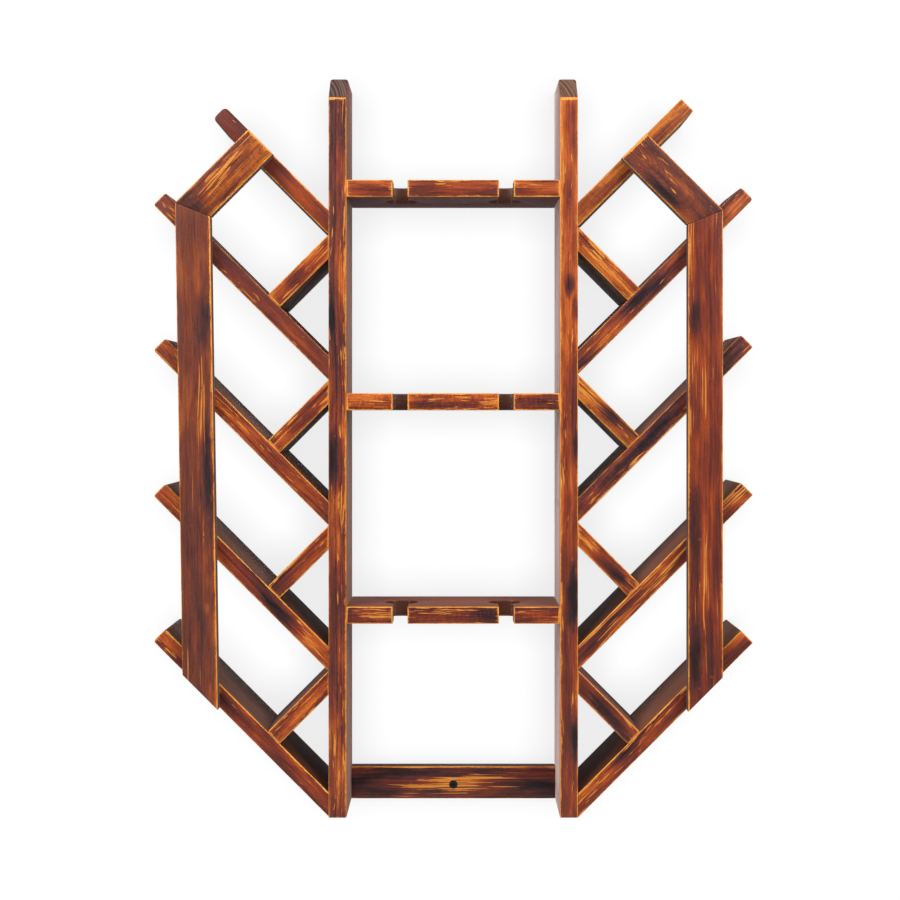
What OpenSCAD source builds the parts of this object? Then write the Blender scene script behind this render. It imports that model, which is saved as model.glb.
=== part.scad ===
// Wall-hung wine rack: two uprights carry three glass shelves, and bars at 45 degrees hold eight bottles.
// Millimetres. X runs to the right, Z runs up, and the front faces -Y. The wall is the plane y = 0.
// Heights below are measured from the uprights' feet; the origin is the wall screw's axis at the wall.

/* [Core frame] */
// Height of the uprights
rack_h = 805; // [760:5:900]
// Depth of the boards, from the wall to the front
depth = 90; // [80:1:110]
// Width of the core, over the uprights' outer faces
core_w = 270; // [260:1:300]
// Thickness of an upright
upright_t = 19.5; // [18:0.5:22]
// Size of the 45 degree bevel at the front of each upright's top
top_bevel = 26; // [5:1:40]

/* [Shelves and glasses] */
// Thickness of a shelf
shelf_t = 18.5; // [16:0.5:20]
// Height of the bottom shelf's underside
bottom_shelf_z = 210; // [190:1:230]
// Height from one shelf to the next
shelf_pitch = 231; // [220:1:240]
// Distance from the centreline to each keyhole
glass_x = 57.5; // [50:0.5:60]
// Diameter of the round hole of a keyhole
glass_hole_d = 36.5; // [30:0.5:45]
// Width of the slot that leads to the round hole
glass_slot_w = 16; // [12:0.5:20]
// Distance from the shelf's front edge to the centre of the round hole
glass_hole_y = 43; // [35:1:50]

/* [Bars and braces] */
// Thickness of a bar or a brace
bar_t = 18.5; // [16:0.5:20]
// Distance from the centreline to the middle of a bar's outer end
bar_reach = 318; // [305:1:330]
// The same distance for the short bar at the top
top_bar_reach = 253.5; // [245:0.5:262]
// Height from bar to bar on the left side
left_bar_pitch = 157.5; // [154:0.5:162]
// Height from bar to bar on the right side
right_bar_pitch = 160; // [154:0.5:162]
// Height of the lowest left bar above the feet
left_bar_z = 1.5; // [0:0.5:4]
// Height of the lowest right bar above the feet
right_bar_z = 0; // [0:0.5:4]

/* [Slats] */
// Width of a slat
slat_w = 37.5; // [32:0.5:42]
// Thickness of a slat
slat_t = 14; // [10:0.5:18]
// Distance from the centreline to the left slats' outer corner
left_slat_x = 298.5; // [286:0.5:304]
// The same distance on the right side
right_slat_x = 289.5; // [286:0.5:304]
// Height of the left slats' outer corner
left_corner_z = 664; // [650:1:672]
// Height of the right slats' outer corner
right_corner_z = 656; // [650:1:672]
// Inward lean of the left outer slat's foot, in degrees
left_slat_lean = 0.9; // [0:0.1:1.5]
// Inward lean of the right outer slat's foot, in degrees
right_slat_lean = 0; // [0:0.1:1.5]

/* [Rail and wall fixing] */
// Height of the bottom rail's underside above the feet
rail_z = 1; // [0:0.5:4]
// Height of the bottom rail's board
rail_h = 36.5; // [34:0.5:42]
// Thickness of the bottom rail
rail_t = 14; // [12:0.5:18]
// Height of the wall screw above the feet
wall_screw_z = 17; // [15:0.5:22]
// Shank diameter of the wall screw
wall_screw_d = 4.2; // [3.8:0.1:4.5]
// Head diameter of the wall screw
wall_screw_head_d = 9.6; // [9:0.1:10]
// Length of the wall screw behind the wall face
wall_screw_reach = 30; // [20:1:40]
// Height of the hanger plates' middle above the feet
hanger_z = 730; // [715:1:745]

/* [Hidden] */
$fn = 48;
gap = 0.05;                                 // clearance round each screw and brad
over = 1;                                   // how far a cutting shape runs past a face
upright_x = core_w/2;                       // an upright's outer face
inner_x = upright_x - upright_t;            // an upright's inner face
bar_rise = bar_t*sqrt(2);                   // height of a bar's mitred end
shelves = 3;
bars = 5;                                   // on each side, numbered from the top
braces = bars - 1;
screw_rows = [-depth*0.25, -depth*0.75];    // where paired screws stand in the boards' depth

// Screws through the boards: shank and head diameters and lengths
screw_d = 3.5;
screw_head_d = 7;
long_screw = 45;
bar_screw = 35;
small_screw_d = 3;
small_screw_head_d = 6;
small_screw = 16;
plain_share = 0.4;                          // the part of a screw's length with no thread
thread_ratio = 0.9;                         // thread's diameter over the plain shank's

// Brads through the slats
brad_d = 1.4;
brad_head_d = 2.6;
brad_head_t = 0.6;
brad_len = 35;
brad_spread = 9;                            // from the crossing's middle, along the bar

// Keyhole hanger plates, measured from their middle
hanger_w = 16;
hanger_h = 44;
hanger_t = 2;
hanger_screw_z = 17;
keyhole_d = 9;
keyhole_slot_w = 4.6;
keyhole_z = -5;
keyhole_run = 13;                           // from the entry hole up to the end of the slot
pocket_w = 11;
pocket_depth = 8;

wood = "#7a3d22";
dark_wood = "#5c2c1b";
black = "#18181a";
zinc = "#b9bbbd";

// ---- Places, on the right side; the left side mirrors them ----

function pick(side, left, right) = side == "left" ? left : right;

// Lower edge of bar n where it meets the upright
function bar_z(side, n) = pick(side, left_bar_z, right_bar_z)
    + (bars - n)*pick(side, left_bar_pitch, right_bar_pitch);

function shelf_z(n) = bottom_shelf_z + (shelves - n)*shelf_pitch;

// A bar's lower edge runs along z - x = bar_line, and its upper edge lies bar_rise above that
function bar_line(side, n) = bar_z(side, n) - upright_x;

// How far below an upright's point at height z a falling edge meets the top of bar n, measured along X
function fall(side, n, z) = (z - bar_z(side, n) - bar_rise)/2;

function slat_x(side) = pick(side, left_slat_x, right_slat_x);
function corner_z(side) = pick(side, left_corner_z, right_corner_z);
function lean(side) = pick(side, left_slat_lean, right_slat_lean);

// X of the outer slat's edge at height z, inset from its outer edge
function slat_edge_x(side, inset, z) =
    slat_x(side) - inset/cos(lean(side)) - (corner_z(side) - z)*tan(lean(side));

// Where the outer slat's edge meets the lowest bar's lower edge
function slat_foot(side, inset) = let(
        slope = tan(lean(side)),
        x = (slat_edge_x(side, inset, bar_line(side, bars)))/(1 - slope))
    [x, x + bar_line(side, bars)];

// Inner end of the mitre between the outer slat and the corner slat
function mitre(side) = let(
        z = corner_z(side) + slat_w*(1/cos(lean(side)) - sqrt(2))/(1 + tan(lean(side))))
    [slat_edge_x(side, slat_w, z), z];

// Where the corner slat's edge, inset from its outer edge, crosses the line z - x = rise
function corner_cross(side, inset, rise) = let(
        sum = slat_x(side) + corner_z(side) - inset*sqrt(2))
    [(sum - rise)/2, (sum + rise)/2];

module from_feet() {
    translate([0, 0, -wall_screw_z]) children();
}

module on_side(side) {
    mirror([side == "left" ? 1 : 0, 0, 0]) from_feet() children();
}

module on_both_sides() {
    for (side = ["left", "right"]) on_side(side) children();
}

module bar_screw_places(side, n) {
    for (y = screw_rows)
        translate([inner_x, y, bar_z(side, n) + 0.75*bar_rise]) rotate([0, 90, 0]) children();
}

// Brace n's screws start at the underside of the bar below it
module brace_screw_places(side, n) {
    x = fall(side, n + 1, bar_z(side, n) - bar_rise/2);
    z = bar_z(side, n + 1) + bar_rise + x;
    for (y = screw_rows)
        translate([upright_x + x + bar_rise/2, y, z - bar_rise/2]) rotate([0, -45, 0]) children();
}

module shelf_screw_places(n) {
    for (y = screw_rows)
        translate([upright_x, y, shelf_z(n) + shelf_t/2]) rotate([0, -90, 0]) children();
}

module rail_screw_place() {
    translate([upright_x, -rail_t/2, rail_z + rail_h/2]) rotate([0, -90, 0]) children();
}

module hanger_place() {
    translate([(upright_x + inner_x)/2, 0, hanger_z]) children();
}

module hanger_screw_places() {
    for (z = [-hanger_screw_z, hanger_screw_z])
        hanger_place() translate([0, 0, z]) rotate([90, 0, 0]) children();
}

// The corner slat is nailed to bar 1, and the outer slat to bars 2 to 5
module brad_places(side, n) {
    line = bar_line(side, n) + bar_rise/2;
    x = n == 1 ? corner_cross(side, slat_w/2, line)[0]
        : slat_edge_x(side, slat_w/2, line + slat_x(side) - slat_w/2);
    for (along = [-brad_spread, brad_spread]/sqrt(2))
        translate([x + along, -depth - slat_t, x + along + line]) rotate([-90, 0, 0]) children();
}

// ---- Shapes ----

// A board that runs forward from y = 0, cut from an outline in X and Z
module board(outline, thickness) {
    rotate([90, 0, 0]) linear_extrude(thickness) polygon(outline);
}

// A slot with round ends, wide along X and high along Z, sunk from y = 0 towards the front
module round_ended(width, height, thickness) {
    rotate([90, 0, 0]) linear_extrude(thickness) {
        square([width, height - width], center = true);
        for (end = [-1, 1]) translate([0, end*(height - width)/2]) circle(d = width);
    }
}

// Countersunk wood screw: its head's top is at z = 0 and its point towards +Z. Its shank is plain
// for a first stretch from the head's top, and slimmer where the thread is.
module wood_screw(d, length, head_d, plain) {
    head_h = (head_d - d)/2;
    thread_d = thread_ratio*d;
    tip_h = 1.5*d;
    difference() {
        union() {
            cylinder(d1 = head_d, d2 = d, h = head_h);
            translate([0, 0, head_h]) cylinder(d = d, h = plain - head_h);
            translate([0, 0, plain]) cylinder(d = thread_d, h = length - plain - tip_h);
            translate([0, 0, length - tip_h]) cylinder(d1 = thread_d, d2 = thread_d/8, h = tip_h);
        }
        for (turn = [0, 90]) rotate([0, 0, turn])
            cube([0.52*head_d, 0.12*head_d, head_d/3], center = true);
    }
}

module screw_hole(d, length, head_d) {
    head_h = (head_d - d)/2;
    translate([0, 0, -over]) cylinder(d = head_d + 2*gap, h = over);
    cylinder(d1 = head_d + 2*gap, d2 = d + 2*gap, h = head_h);
    cylinder(d = d + 2*gap, h = length + over);
}

module brad() {
    cylinder(d = brad_head_d, h = brad_head_t);
    cylinder(d = brad_d, h = brad_len - 2*brad_d);
    translate([0, 0, brad_len - 2*brad_d]) cylinder(d1 = brad_d, d2 = brad_d/5, h = 2*brad_d);
}

module brad_hole() {
    translate([0, 0, -over]) cylinder(d = brad_head_d + 2*gap, h = brad_head_t + over);
    cylinder(d = brad_d + 2*gap, h = brad_len + over);
}

module long_screw() wood_screw(screw_d, long_screw, screw_head_d, plain_share*long_screw);
module long_screw_hole() screw_hole(screw_d, long_screw, screw_head_d);
module bar_screw() wood_screw(screw_d, bar_screw, screw_head_d, plain_share*bar_screw);
module bar_screw_hole() screw_hole(screw_d, bar_screw, screw_head_d);
module small_screw() wood_screw(small_screw_d, small_screw, small_screw_head_d, plain_share*small_screw);
module small_screw_hole() screw_hole(small_screw_d, small_screw, small_screw_head_d);

// Round hole and the slot that leads to it from the shelf's front edge
module glass_keyhole() {
    translate([0, -depth + glass_hole_y, -over]) cylinder(d = glass_hole_d, h = shelf_t + 2*over, $fn = 96);
    translate([-glass_slot_w/2, -depth - over, -over])
        cube([glass_slot_w, glass_hole_y + over, shelf_t + 2*over]);
}

// ---- Sub-parts ----

module upright(side) {
    profile = [[0, 0], [-depth, 0], [-depth, rack_h - top_bevel], [top_bevel - depth, rack_h], [0, rack_h]];
    color(dark_wood) on_side(side) difference() {
        translate([inner_x, 0, 0]) rotate([90, 0, 90]) linear_extrude(upright_t) polygon(profile);
        for (n = [1:bars]) bar_screw_places(side, n) bar_screw_hole();
        for (n = [1:shelves]) shelf_screw_places(n) long_screw_hole();
        rail_screw_place() long_screw_hole();
        hanger_screw_places() small_screw_hole();
        hanger_place() translate([0, over, 0])
            round_ended(hanger_w + 2*gap, hanger_h + 2*gap, hanger_t + over);
        hanger_place() translate([0, over, keyhole_z + keyhole_run/2])
            round_ended(pocket_w, keyhole_run + pocket_w, hanger_t + pocket_depth + over);
    }
}

module shelf(n) {
    color(wood) difference() {
        from_feet() translate([-inner_x, -depth, shelf_z(n)]) difference() {
            cube([2*inner_x, depth, shelf_t]);
            for (x = [-glass_x, glass_x]) translate([inner_x + x, depth, 0]) glass_keyhole();
        }
        on_both_sides() shelf_screw_places(n) long_screw_hole();
    }
}

module bottom_rail() {
    color(dark_wood) difference() {
        from_feet() translate([-inner_x, -rail_t, rail_z]) cube([2*inner_x, rail_t, rail_h]);
        on_both_sides() rail_screw_place() long_screw_hole();
        translate([0, -rail_t, 0]) rotate([-90, 0, 0])
            screw_hole(wall_screw_d, rail_t, wall_screw_head_d);
    }
}

// Mitred onto the upright at its inner end and cut square at its outer end
module bar(side, n) {
    reach = n == 1 ? top_bar_reach : bar_reach;
    end = [reach, bar_line(side, n) + bar_rise/2 + reach];
    corner = [bar_rise/4, -bar_rise/4];
    color(wood) on_side(side) difference() {
        board([[upright_x, bar_z(side, n)], end + corner, end - corner,
            [upright_x, bar_z(side, n) + bar_rise]], depth);
        bar_screw_places(side, n) bar_screw_hole();
        if (n > 1) brace_screw_places(side, n - 1) long_screw_hole();
        brad_places(side, n) brad_hole();
    }
}

// Square to the bars: mitred onto the upright just under bar n, and square on top of the bar below
module brace(side, n) {
    top = bar_z(side, n);
    foot = bar_z(side, n + 1) + bar_rise;
    long_run = fall(side, n + 1, top);
    short_run = fall(side, n + 1, top - bar_rise);
    color(wood) on_side(side) difference() {
        board([[upright_x, top], [upright_x, top - bar_rise],
            [upright_x + short_run, foot + short_run], [upright_x + long_run, foot + long_run]], depth);
        brace_screw_places(side, n) long_screw_hole();
    }
}

// Its foot is cut along the lowest bar's lower edge
module outer_slat(side) {
    color(wood) on_side(side) difference() {
        translate([0, -depth, 0]) board([[slat_x(side), corner_z(side)], mitre(side),
            slat_foot(side, slat_w), slat_foot(side, 0)], slat_t);
        for (n = [2:bars]) brad_places(side, n) brad_hole();
    }
}

// Its upper end is cut along the top bar's upper edge
module corner_slat(side) {
    top_line = bar_line(side, 1) + bar_rise;
    color(wood) on_side(side) difference() {
        translate([0, -depth, 0]) board([[slat_x(side), corner_z(side)],
            corner_cross(side, 0, top_line), corner_cross(side, slat_w, top_line), mitre(side)], slat_t);
        brad_places(side, 1) brad_hole();
    }
}

module hanger(side) {
    color(zinc) on_side(side) difference() {
        hanger_place() difference() {
            round_ended(hanger_w, hanger_h, hanger_t);
            translate([0, over, keyhole_z]) rotate([90, 0, 0]) cylinder(d = keyhole_d, h = hanger_t + 2*over);
            translate([0, over, keyhole_z + keyhole_run/2])
                round_ended(keyhole_slot_w, keyhole_run + keyhole_slot_w, hanger_t + 2*over);
        }
        hanger_screw_places() small_screw_hole();
    }
}

module bar_screws(side) {
    color(zinc) on_side(side) for (n = [1:bars]) bar_screw_places(side, n) bar_screw();
}

module brace_screws(side) {
    color(zinc) on_side(side) for (n = [1:braces]) brace_screw_places(side, n) long_screw();
}

module slat_brads(side) {
    color(zinc) on_side(side) for (n = [1:bars]) brad_places(side, n) brad();
}

module shelf_screws() {
    color(zinc) on_both_sides() for (n = [1:shelves]) shelf_screw_places(n) long_screw();
}

module rail_screws() {
    color(zinc) on_both_sides() rail_screw_place() long_screw();
}

module hanger_screws() {
    color(zinc) on_both_sides() hanger_screw_places() small_screw();
}

// Its plain shank fills the bottom rail, and its thread runs on into the wall
module wall_screw() {
    color(black) translate([0, -rail_t, 0]) rotate([-90, 0, 0])
        wood_screw(wall_screw_d, rail_t + wall_screw_reach, wall_screw_head_d, rail_t);
}

for (side = ["left", "right"]) {
    upright(side);
    for (n = [1:bars]) bar(side, n);
    for (n = [1:braces]) brace(side, n);
    outer_slat(side);
    corner_slat(side);
    hanger(side);
    bar_screws(side);
    brace_screws(side);
    slat_brads(side);
}
shelf(1);  // top_shelf
shelf(2);  // middle_shelf
shelf(3);  // bottom_shelf
bottom_rail();
shelf_screws();
rail_screws();
hanger_screws();
wall_screw();
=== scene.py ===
# %% [markdown]
# # A wall-hung wine rack
# The rack is a ladder of two uprights and three shelves, with bars at 45 degrees on both sides that
# hold bottles, and flat slats nailed over the bars' outer ends. All of it is pine that was scorched,
# stained red-brown and brushed, so that pale wood shows through along the edges and the grain.
# The sizes and places all come from the CAD frame. This script makes the boards anew, with eased
# edges and cut ends, and gives every surface its finish.

# %% Load the frame
import math

import bpy
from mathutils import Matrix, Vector


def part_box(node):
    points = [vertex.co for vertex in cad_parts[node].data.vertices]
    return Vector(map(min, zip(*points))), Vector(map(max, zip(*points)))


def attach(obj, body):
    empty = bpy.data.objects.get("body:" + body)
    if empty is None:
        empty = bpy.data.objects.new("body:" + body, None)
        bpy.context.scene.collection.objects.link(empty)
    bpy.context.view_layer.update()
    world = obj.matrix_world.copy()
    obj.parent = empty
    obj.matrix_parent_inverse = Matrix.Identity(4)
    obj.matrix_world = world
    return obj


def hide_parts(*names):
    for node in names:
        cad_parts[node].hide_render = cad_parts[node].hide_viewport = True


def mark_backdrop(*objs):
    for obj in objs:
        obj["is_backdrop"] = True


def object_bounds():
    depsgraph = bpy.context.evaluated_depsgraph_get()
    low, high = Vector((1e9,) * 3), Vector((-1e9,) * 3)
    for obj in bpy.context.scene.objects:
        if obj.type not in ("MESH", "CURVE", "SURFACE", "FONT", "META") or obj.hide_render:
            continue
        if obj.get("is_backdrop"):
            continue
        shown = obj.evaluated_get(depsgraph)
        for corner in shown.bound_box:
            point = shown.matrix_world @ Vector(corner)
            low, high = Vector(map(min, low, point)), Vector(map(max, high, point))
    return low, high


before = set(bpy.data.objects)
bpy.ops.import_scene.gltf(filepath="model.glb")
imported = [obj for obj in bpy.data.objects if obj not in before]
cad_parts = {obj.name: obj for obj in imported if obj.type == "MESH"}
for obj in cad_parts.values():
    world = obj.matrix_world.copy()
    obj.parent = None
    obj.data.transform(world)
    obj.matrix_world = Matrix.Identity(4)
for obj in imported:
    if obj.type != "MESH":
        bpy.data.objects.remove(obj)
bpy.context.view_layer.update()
MM = 0.001
SIDES = {"left": -1, "right": 1}

# %% [markdown]
# ## The camera
# The rack hangs on a wall and is seen square on, from a little under two metres, level with its
# middle shelf. A level camera keeps the uprights parallel, and a small shift puts the whole rack
# in the middle of the frame without tilting the lens.

# %% Place the camera
board_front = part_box("right_upright")[0].y
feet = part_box("right_upright")[0].z
VIEW_DISTANCE = 1.6
VIEW_HEIGHT = 0.4425
VIEW_RIGHT = 0.00195
lens = bpy.data.cameras.new("camera")
lens.lens, lens.sensor_width = 59.16, 36
lens.shift_x, lens.shift_y = -0.0056, -0.0456
camera = bpy.data.objects.new("camera", lens)
camera.location = (VIEW_RIGHT, board_front - VIEW_DISTANCE, feet + VIEW_HEIGHT)
camera.rotation_euler = (math.radians(90), 0, 0)
bpy.context.scene.collection.objects.link(camera)
bpy.context.scene.camera = camera
print("camera at", [round(x, 3) for x in camera.location])

# %% [markdown]
# ## Small helpers for modelling
# An operator works on whatever is selected, so each helper first clears the selection. Edges are
# picked by where they are and which way they run, which stays true when a size changes.

# %% Helpers: starting a shape, picking its edges, applying its modifiers
UP, RIGHT, BACK = Vector((0, 0, 1)), Vector((1, 0, 0)), Vector((0, 1, 0))


def alone(thing):
    bpy.ops.object.select_all(action="DESELECT")
    thing.select_set(True)
    bpy.context.view_layer.objects.active = thing


def placed(name):
    """Names the primitive that was just added, and puts its place and turn into its mesh."""
    thing = bpy.context.object
    alone(thing)
    thing.name = name
    bpy.ops.object.transform_apply(location=True, rotation=True, scale=True)
    return thing


def pick_edges(thing, wanted):
    """Selects the edges whose middle and direction pass a test, and opens edit mode."""
    alone(thing)
    bpy.ops.object.mode_set(mode="EDIT")
    bpy.ops.mesh.select_mode(type="EDGE")
    bpy.ops.mesh.select_all(action="DESELECT")
    bpy.ops.object.mode_set(mode="OBJECT")
    corners = thing.data.vertices
    for edge in thing.data.edges:
        a, b = (corners[i].co for i in edge.vertices)
        edge.select = wanted((a + b) / 2, (b - a).normalized())
    bpy.ops.object.mode_set(mode="EDIT")


def round_off(thing, wanted, radius, steps=4):
    """Rounds the picked edges."""
    pick_edges(thing, wanted)
    bpy.ops.mesh.bevel(offset=radius, segments=steps, affect="EDGES")
    bpy.ops.object.mode_set(mode="OBJECT")


def carve(thing, cutters):
    """Takes the cutters' shapes out of a board."""
    alone(cutters[0])
    for cutter in cutters[1:]:
        cutter.select_set(True)
    if len(cutters) > 1:
        bpy.ops.object.join()
    cutter = bpy.context.object
    alone(thing)
    cut = thing.modifiers.new("cut", "BOOLEAN")
    cut.operation, cut.solver, cut.object = "DIFFERENCE", "EXACT", cutter
    cut.use_self = True
    bpy.ops.object.modifier_apply(modifier=cut.name)
    bpy.data.objects.remove(cutter)


# %% [markdown]
# ## A board
# Every wooden piece starts as a plain plank: a cube primitive with its grain along its length. Saw
# cuts are bisects that close the cut face, so a mitre or a bevel is one plane. The outer corners
# are then rounded, and all sharp edges are eased by about a millimetre, as sandpaper leaves them.

# %% Helpers: sawing a board and easing its edges
EASE = 1.1 * MM
SPARE = 40 * MM


def saw_off(plank, point, outward):
    """Cuts away what lies beyond a plane, and closes the cut."""
    alone(plank)
    bpy.ops.object.mode_set(mode="EDIT")
    bpy.ops.mesh.select_all(action="SELECT")
    bpy.ops.mesh.bisect(plane_co=point, plane_no=outward, use_fill=True, clear_outer=True)
    bpy.ops.object.mode_set(mode="OBJECT")


def ease_edges(plank, radius=EASE):
    """Softens every sharp edge."""
    alone(plank)
    bpy.ops.object.mode_set(mode="EDIT")
    bpy.ops.mesh.select_mode(type="EDGE")
    bpy.ops.mesh.select_all(action="DESELECT")
    bpy.ops.mesh.edges_select_sharp(sharpness=math.radians(35))
    bpy.ops.mesh.bevel(offset=radius, segments=3, affect="EDGES", clamp_overlap=True)
    bpy.ops.object.mode_set(mode="OBJECT")


class Board:
    """A plank: its grain, its faces, and its two cut ends, each a point and an outward normal."""

    def __init__(self, name, along, across, low, high, start, finish, front=None, back=0.0):
        self.name, self.along, self.across = name, along.normalized(), across.normalized()
        self.low, self.high = low, high
        self.front, self.back = board_front if front is None else front, back
        self.ends = [start, finish]
        reach = [point.dot(self.along) for point, _ in self.ends]
        self.length = abs(reach[1] - reach[0])
        self.middle = (self.along * sum(reach) / 2 + self.across * (low + high) / 2
                       + BACK * (self.front + self.back) / 2)

    def sawn(self):
        turn = -math.atan2(self.along.z, self.along.x)
        size = (self.length + 2 * SPARE, self.back - self.front, self.high - self.low)
        bpy.ops.mesh.primitive_cube_add(size=1, location=self.middle, rotation=(0, turn, 0))
        bpy.context.object.scale = size
        self.piece = placed(self.name + "_board")
        for point, outward in self.ends:
            saw_off(self.piece, point, outward)
        return self.piece

    def distances(self, spot):
        """How far a point is inside the low, high, front, start, finish and back faces."""
        level = spot.dot(self.across)
        ends = [(point - spot).dot(outward) for point, outward in self.ends]
        return (level - self.low, self.high - level, spot.y - self.front, *ends, self.back - spot.y)


# %% [markdown]
# ## What a board tells its finish
# Paint wears off along edges, and stain follows the grain. So each point of a board stores where it
# is along and across the grain, and how far it is from each of the board's faces. These values
# change evenly over a face, so they stay exact between the corners, however few there are.

# %% Helper: storing the grain and the distances on a board
def mark(board, seed, ends=None):
    mesh = board.piece.data
    for name in ("grain", "sides", "ends"):
        mesh.attributes.new(name, "FLOAT_VECTOR", "POINT")
    mesh.attributes.new("board", "FLOAT", "POINT")
    layers = (mesh.attributes[name].data for name in ("grain", "sides", "ends", "board"))
    grain, sides, cuts, number = layers
    for i, corner in enumerate(mesh.vertices):
        spot = corner.co.copy()
        offset = spot - board.middle
        low, high, front, start, finish, back = board.distances(spot)
        if ends:
            start, finish = ends(spot)
        grain[i].vector = (offset.dot(board.along), offset.dot(board.across), offset.y)
        sides[i].vector = (low, high, front)
        cuts[i].vector = (start, finish, back)
        number[i].value = seed
    alone(board.piece)
    bpy.ops.object.shade_smooth_by_angle(angle=math.radians(32))


# %% [markdown]
# ## Reading the boards' places from the frame
# The bars lie at 45 degrees, so a bar's box gives its thickness: the box is higher than it is wide
# by the thickness times the square root of two over two. The slats' width is the right outer slat's.

# %% Sizes that the boards share
DIAGONAL = {side: Vector((turn, 0, 1)).normalized() for side, turn in SIDES.items()}
FALLING = {side: Vector((turn, 0, -1)).normalized() for side, turn in SIDES.items()}
BARS = 5
upright_face = {side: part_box(f"{side}_upright")[0 if side == "left" else 1].x for side in SIDES}
lo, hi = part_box("right_bar_3")
bar_t = ((hi.z - lo.z) - (hi.x - lo.x)) * math.sqrt(2)
bar_rise = bar_t * math.sqrt(2)
lo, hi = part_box("right_outer_slat")
slat_w = hi.x - lo.x
slat_front, slat_back = lo.y, hi.y
SLAT_LEAN = {"left": math.radians(0.9), "right": 0.0}
print("bar", round(bar_t / MM, 2), "mm thick, slat", round(slat_w / MM, 2), "mm wide")


def outer(side, low_high):
    """The X of a box's outer face."""
    return low_high[0 if side == "left" else 1].x


# %% [markdown]
# ## Screw holes
# The screws' heads sit flush in countersinks. One cone is the countersink cutter: it flares out
# past the board's face, so that the cut is clean. Each place gets its own copy of it.

# %% Helper: a countersink cutter
HEAD_R, SHANK_R, HOLE_GAP, OVER = 3.5 * MM, 1.75 * MM, 0.05 * MM, 1 * MM
ROWS = [board_front * 0.25, board_front * 0.75]


def countersink(place, inward, head_r=HEAD_R, shank_r=SHANK_R):
    inward = inward.normalized()
    deep = head_r - shank_r
    middle = place + inward * (deep - OVER) / 2
    bpy.ops.mesh.primitive_cone_add(
        vertices=32, radius1=head_r + HOLE_GAP + OVER, radius2=shank_r + HOLE_GAP,
        depth=deep + OVER, location=middle, rotation=inward.to_track_quat("Z", "Y").to_euler())
    return placed("countersink")


# %% [markdown]
# ## The uprights
# Each upright is one tall board that runs from wall to front. Its top is cut back at 45 degrees at
# the front, which shows as a dark face of end grain, and its upper corners are rounded. Behind, a
# keyhole plate is let in flush over a deeper pocket for the head of the wall screw.

# %% Make the uprights
BEVEL, TOP_ROUND = 26 * MM, 3 * MM
BAR_SCREW_LEVEL = 0.75
SHELVES = ("top_shelf", "middle_shelf", "bottom_shelf")
PLATE_W, PLATE_H, PLATE_T = 16 * MM, 44 * MM, 2 * MM
POCKET_W, POCKET_DEEP, KEYHOLE_Z, KEYHOLE_RUN = 11 * MM, 8 * MM, -5 * MM, 13 * MM
boards = {}


def slot_cutter(middle, width, height, deep):
    """A cutter with round ends, sunk into the back of a board."""
    bpy.ops.mesh.primitive_cube_add(size=1, location=middle + BACK * (OVER - deep) / 2)
    bpy.context.object.scale = (width, deep + OVER, height)
    cutter = placed("slot_cutter")
    round_off(cutter, lambda at, way: abs(way.y) > 0.9, width / 2 - 0.01 * MM, 10)
    return cutter


for side, turn in SIDES.items():
    lo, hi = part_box(f"{side}_upright")
    edge = hi.z - BEVEL
    board = Board(f"{side}_upright", UP, RIGHT, lo.x, hi.x, (lo.copy(), -UP), (hi.copy(), UP))
    piece = board.sawn()
    board.ends[1] = (Vector((0, board_front, edge)), Vector((0, -1, 1)).normalized())
    saw_off(piece, *board.ends[1])
    round_off(piece, lambda at, way: abs(way.y) > 0.9 and at.z > hi.z - MM, TOP_ROUND)
    ease_edges(piece)
    inner_x, outer_x = (hi.x, lo.x) if side == "left" else (lo.x, hi.x)
    outward = RIGHT * turn
    cutters = []
    for y in ROWS:
        for n in range(1, BARS + 1):
            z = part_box(f"{side}_bar_{n}")[0].z + BAR_SCREW_LEVEL * bar_rise
            cutters.append(countersink(Vector((inner_x, y, z)), outward))
        for shelf in SHELVES:
            z = sum(corner.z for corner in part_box(shelf)) / 2
            cutters.append(countersink(Vector((outer_x, y, z)), -outward))
    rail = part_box("bottom_rail")
    rail_end = Vector((outer_x, (rail[0].y + rail[1].y) / 2, (rail[0].z + rail[1].z) / 2))
    cutters.append(countersink(rail_end, -outward))
    plate = sum(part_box(f"{side}_hanger"), Vector()) / 2
    plate.y = 0
    cutters.append(slot_cutter(plate, PLATE_W + 2 * HOLE_GAP, PLATE_H + 2 * HOLE_GAP, PLATE_T))
    pocket = plate + UP * (KEYHOLE_Z + KEYHOLE_RUN / 2)
    cutters.append(slot_cutter(pocket, POCKET_W, KEYHOLE_RUN + POCKET_W, PLATE_T + POCKET_DEEP))
    carve(piece, cutters)
    boards[board.name] = board
    print(board.name, len(piece.data.polygons), "faces")

# %% [markdown]
# ## The shelves
# A shelf is a board with two keyholes: stemmed glasses slide in by the slots at the front and hang
# in the round holes. The keyhole cutter is a cylinder and a block, and the easing comes after it,
# so that the keyholes' rims are eased too.

# %% Make the shelves
GLASS_X, GLASS_D, GLASS_SLOT, GLASS_IN = 57.5 * MM, 36.5 * MM, 16 * MM, 43 * MM
SHELF_EASE = 0.9 * MM


def glass_keyhole(x, lo, hi):
    centre = Vector((x, board_front + GLASS_IN, (lo.z + hi.z) / 2))
    high = hi.z - lo.z + 2 * OVER
    bpy.ops.mesh.primitive_cylinder_add(vertices=72, radius=GLASS_D / 2, depth=high, location=centre)
    round_part = placed("keyhole")
    reach = GLASS_IN + OVER
    bpy.ops.mesh.primitive_cube_add(size=1, location=centre - BACK * reach / 2)
    bpy.context.object.scale = (GLASS_SLOT, reach, high)
    return [round_part, placed("keyhole_slot")]


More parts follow.
